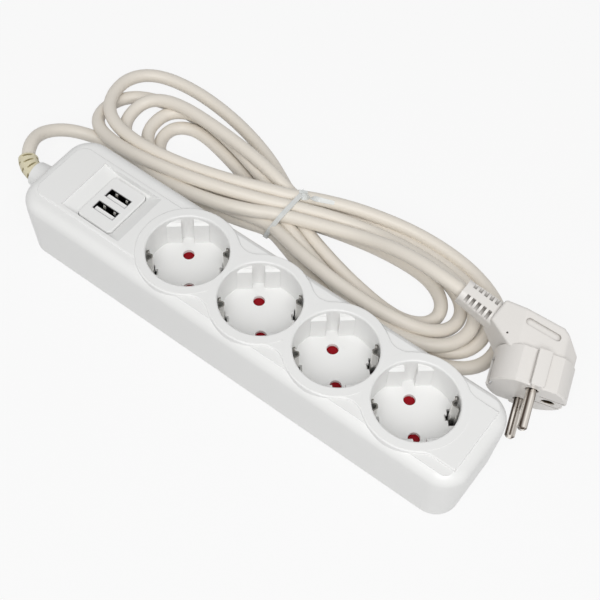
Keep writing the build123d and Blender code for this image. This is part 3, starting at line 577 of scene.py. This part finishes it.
# Plug: one body moulded over the contacts, with a ribbed strain relief, and two nickel pins.
# Earth clips lie in its sides and an earth socket sits in its face.
PLUG_ALONG = Vector((-0.316, 0.921, 0.228))
PLUG_ACROSS = Vector((-0.922, -0.354, 0.155))
PIN_BANDS = 520.0
BAND_STARTS = 0.42
BAND_FULL = 0.56
PIN_GLOSS = 0.10
BAND_DULLS = 0.10
# Colours of the pins' painted reflections, dark and bright.
PAINTED_REFLECTION_DARK = (0.075, 0.055, 0.042, 1.0)
PAINTED_REFLECTION_BRIGHT = (0.84, 0.79, 0.73, 1.0)
plug_white = moulded("plug_white", light=(0.80, 0.775, 0.745), dark=(0.75, 0.725, 0.695),
                     roughness=0.32, grain=0.0007, depth=0.00003)
# Painted shade darkens the plug's grooves and slots.
paint_groove_shade(plug_white, tint=(0.26, 0.24, 0.22), reach=0.0020)
# The pins' colour runs in dark and bright bands along their length: painted reflections. The noise drawn
# lays them out, and they also vary the gloss.
pin_nickel, shade, shader, place = start_material("pin_nickel")
across_pin = shade.node("ShaderNodeVectorMath", {"operation": "DOT_PRODUCT"},
                        {0: place, 1: PLUG_ACROSS}, "Value")
over_pin = shade.node("ShaderNodeVectorMath", {"operation": "DOT_PRODUCT"},
                      {0: place, 1: PLUG_ALONG.cross(PLUG_ACROSS)}, "Value")
section = shade.node("ShaderNodeCombineXYZ", {}, {"X": across_pin, "Y": over_pin})
drawn = shade.node("ShaderNodeTexNoise", {}, {"Vector": section, "Scale": PIN_BANDS, "Detail": 1.0})
reflection_bands = shade.node("ShaderNodeMapRange", {},
                   {"Value": drawn, "From Min": BAND_STARTS, "From Max": BAND_FULL})
feed(shade, shader, Base_Color=shade.mix(reflection_bands, PAINTED_REFLECTION_DARK, PAINTED_REFLECTION_BRIGHT),
     Roughness=PIN_GLOSS + BAND_DULLS * reflection_bands)
shader.inputs["Metallic"].default_value = 1.0
# The earth socket's brass is nearly black: painted shade of the deep hole it sits in.
shaded_socket_brass = rolled("shaded_socket_brass", light=(0.16, 0.12, 0.07), dark=(0.09, 0.07, 0.04),
                      roughness=0.30, streak=0.2, relief=0.2)
dress(plug_white, "plug_body")
dress(pin_nickel, "plug_pin_1", "plug_pin_2")
dress(shaded_socket_brass, "plug_earth_socket")
dress(shell_steel, "plug_earth_clip_1", "plug_earth_clip_2")

# Tie: a thin strip of clear film drawn round the waist of the hank.
# Its ends are twisted together to a small knot, and one is left as a short tail on the cable.
STRAP_W = 0.0024
STRAP_T = 0.0008
STRAP_LEAN = 0.33
STRAP_STEPS = 72
FILM_T = 0.0003
KNOT_ANGLE = radians(52)
KNOT_R = 0.0009
KNOT_L = 0.0036
KNOT_STEPS = 25
KNOT_TURN = 0.2 * pi
KNOT_START = 0.4
KNOT_BAND = STRAP_W / 3
KNOT_AHEAD = 1.2
TAIL_STEPS = 20
TAIL_START = 0.40
TAIL_RUN = 1.05
TAIL_HALF_W = 0.0019
TAIL_TAPER = 0.0009
TAIL_TWIST = 16
TWIST_MIDDLE = 0.45
TAIL_LIFTS_OFF = 6
TAIL_AHEAD = 0.05
TAIL_FACES = Vector((0.0, -0.6, 0.8))
TIE_ALPHA = 0.72


def on_lead(index):
    """Place on the lead's line at a control point, or part of the way to the next."""
    nearest = round(index)
    t = index - nearest + 0.5
    before, here, after = route[nearest - 1:nearest + 2]
    return before * (1 - t) ** 2 / 2 + here * (0.5 + t - t * t) + after * t * t / 2


def strap_place(outward):
    """Place of the strap on the outermost strand of the waist in a direction."""
    place = max(strands, key=outward.dot) + outward * (CORD_D + STRAP_T) / 2
    z = max(place.z, STRAP_T / 2)
    return Vector((TIE_X + STRAP_LEAN * (z - CORD_D / 2), place.y, z))


top_strand = FIRST_WAIST + POINTS_PER_BIGHT
strands = [on_lead(FIRST_WAIST + POINTS_PER_BIGHT * k) for k in range(len(waist))]
angles = [2 * pi * k / STRAP_STEPS for k in range(STRAP_STEPS)]
outwards = [Vector((0.0, cos(angle), sin(angle))) for angle in angles]
tie_mesh = bmesh.new()
add_ribbon(tie_mesh, [strap_place(outward) for outward in outwards],
           [Vector((STRAP_W / 2, 0.0, 0.0))] * STRAP_STEPS,
           [outward * STRAP_T / 2 for outward in outwards], True)

knot_outward = Vector((0.0, cos(KNOT_ANGLE), sin(KNOT_ANGLE)))
knot = strap_place(knot_outward) + knot_outward * KNOT_R
knot_along = (on_lead(top_strand - KNOT_AHEAD) - on_lead(top_strand)).normalized()
knot_side = knot_along.cross(knot_outward).normalized()
knot_outward = knot_side.cross(knot_along)
turns = [KNOT_TURN * k for k in range(KNOT_STEPS)]
radii = [cos(turn) * knot_outward + sin(turn) * knot_side for turn in turns]
winds = [knot + KNOT_R * radius + knot_along * KNOT_L * (k / KNOT_STEPS - KNOT_START)
         for k, radius in enumerate(radii)]
add_ribbon(tie_mesh, winds, [knot_along * KNOT_BAND] * KNOT_STEPS,
           [radius * FILM_T / 2 for radius in radii], False)

tail, tail_acrosses, tail_lifts = [], [], []
for k in range(TAIL_STEPS + 1):
    part = k / TAIL_STEPS
    index = top_strand - TAIL_START - TAIL_RUN * part
    ahead = (on_lead(index - TAIL_AHEAD) - on_lead(index)).normalized()
    level = TAIL_FACES.cross(ahead).normalized()
    upright = ahead.cross(level)
    half = TAIL_HALF_W - TAIL_TAPER * part
    twist = pi / (1 + exp(-TAIL_TWIST * (part - TWIST_MIDDLE)))
    place = on_lead(index) + upright * (CORD_D / 2 + FILM_T + half * abs(sin(twist)))
    tail.append(knot.lerp(place, min(1.0, TAIL_LIFTS_OFF * part)))
    tail_acrosses.append(half * (cos(twist) * level + sin(twist) * upright))
    tail_lifts.append(FILM_T / 2 * (cos(twist) * upright - sin(twist) * level))
add_ribbon(tie_mesh, tail, tail_acrosses, tail_lifts, False)

tie_clear = moulded("tie_clear", light=(0.86, 0.88, 0.87), dark=(0.79, 0.81, 0.80),
                    roughness=0.18, grain=0.0010, depth=0.00004)
tie_clear.node_tree.nodes["Principled BSDF"].inputs["Alpha"].default_value = TIE_ALPHA
tie_strap = make_piece(tie_mesh, "tie_strap", tie_clear)
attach(tie_strap, "housing")
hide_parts("cable_tie")

# Studio: a pale floor under a white sky and one broad soft lamp, high in front of the object.
# Floor and sky read as white to the eye, and the floor keeps a light shadow.
FLOOR_HALF = 4.0
FLOOR_DROP = 0.0002
FLOOR_GREY = 0.62
FLOOR_WHITE = 0.88
SKY_LIGHT = 0.42
LAMP_PLACE = Vector((0.40, -0.55, 1.00))
LAMP_AIM = Vector((0.0, 0.03, 0.0))
LAMP_SIZE = 1.0
LAMP_POWER = 10.0
AZIMUTH = radians(33.24)
ELEVATION = radians(57.14)
ROLL = radians(4.15)
CAMERA_PLACE = (0.1816, -0.2394, 0.5010)
FOCAL_LENGTH = 73.18


def shown(shade):
    """One for the rays of the eye, of mirrors and of clear film, and nothing for light on the object."""
    seen = shade.node("ShaderNodeLightPath", output="Is Camera Ray")
    mirrored = shade.node("ShaderNodeLightPath", output="Is Glossy Ray")
    through = shade.node("ShaderNodeLightPath", output="Is Transmission Ray")
    return seen + mirrored + through


floor_mesh = bpy.data.meshes.new("floor")
corners = [(x * FLOOR_HALF, y * FLOOR_HALF, 0.0) for x, y in ((-1, -1), (1, -1), (1, 1), (-1, 1))]
floor_mesh.from_pydata(corners, [], [(0, 1, 2, 3)])
floor = bpy.data.objects.new("floor", floor_mesh)
floor.location.z = -FLOOR_DROP
bpy.context.scene.collection.objects.link(floor)

floor_pale = bpy.data.materials.new("floor_pale")
floor_pale.use_nodes = True
floor_tree = floor_pale.node_tree
floor_tree.nodes.remove(floor_tree.nodes["Principled BSDF"])
shade = Shade(floor_tree)
paper = shade.node("ShaderNodeBsdfDiffuse", {}, {"Color": (FLOOR_GREY, FLOOR_GREY, FLOOR_GREY, 1.0)})
white = shade.node("ShaderNodeEmission", {}, {"Color": (1.0, 1.0, 1.0, 1.0), "Strength": 1.0})
mixed = shade.node("ShaderNodeMixShader", {}, {0: FLOOR_WHITE * shown(shade), 1: paper, 2: white})
floor_tree.links.new(mixed.socket, floor_tree.nodes["Material Output"].inputs["Surface"])
floor_mesh.materials.append(floor_pale)

sky = bpy.data.worlds.new("sky")
sky.use_nodes = True
bpy.context.scene.world = sky
backdrop = sky.node_tree.nodes["Background"]
brightness = SKY_LIGHT + (1 - SKY_LIGHT) * shown(Shade(sky.node_tree))
backdrop.inputs["Color"].default_value = (1.0, 1.0, 1.0, 1.0)
sky.node_tree.links.new(brightness.socket, backdrop.inputs["Strength"])

lamp = bpy.data.lights.new("softbox", "AREA")
lamp.shape = "DISK"
lamp.size = LAMP_SIZE
lamp.energy = LAMP_POWER
softbox = bpy.data.objects.new("softbox", lamp)
softbox.location = LAMP_PLACE
softbox.rotation_euler = (LAMP_AIM - LAMP_PLACE).to_track_quat("-Z", "Y").to_euler()
bpy.context.scene.collection.objects.link(softbox)

back = Vector((sin(AZIMUTH) * cos(ELEVATION), -cos(AZIMUTH) * cos(ELEVATION), sin(ELEVATION)))
level = Vector((0.0, 0.0, 1.0)).cross(back).normalized()
upright = back.cross(level)
right = cos(ROLL) * level + sin(ROLL) * upright
up = cos(ROLL) * upright - sin(ROLL) * level
eye = bpy.data.cameras.new("camera")
eye.sensor_width = 36.0
eye.lens = FOCAL_LENGTH
camera = bpy.data.objects.new("camera", eye)
turned = Matrix((right, up, back)).transposed().to_4x4()
camera.matrix_world = Matrix.Translation(CAMERA_PLACE) @ turned
bpy.context.scene.collection.objects.link(camera)
bpy.context.scene.camera = camera
bpy.context.scene.view_settings.view_transform = "Standard"
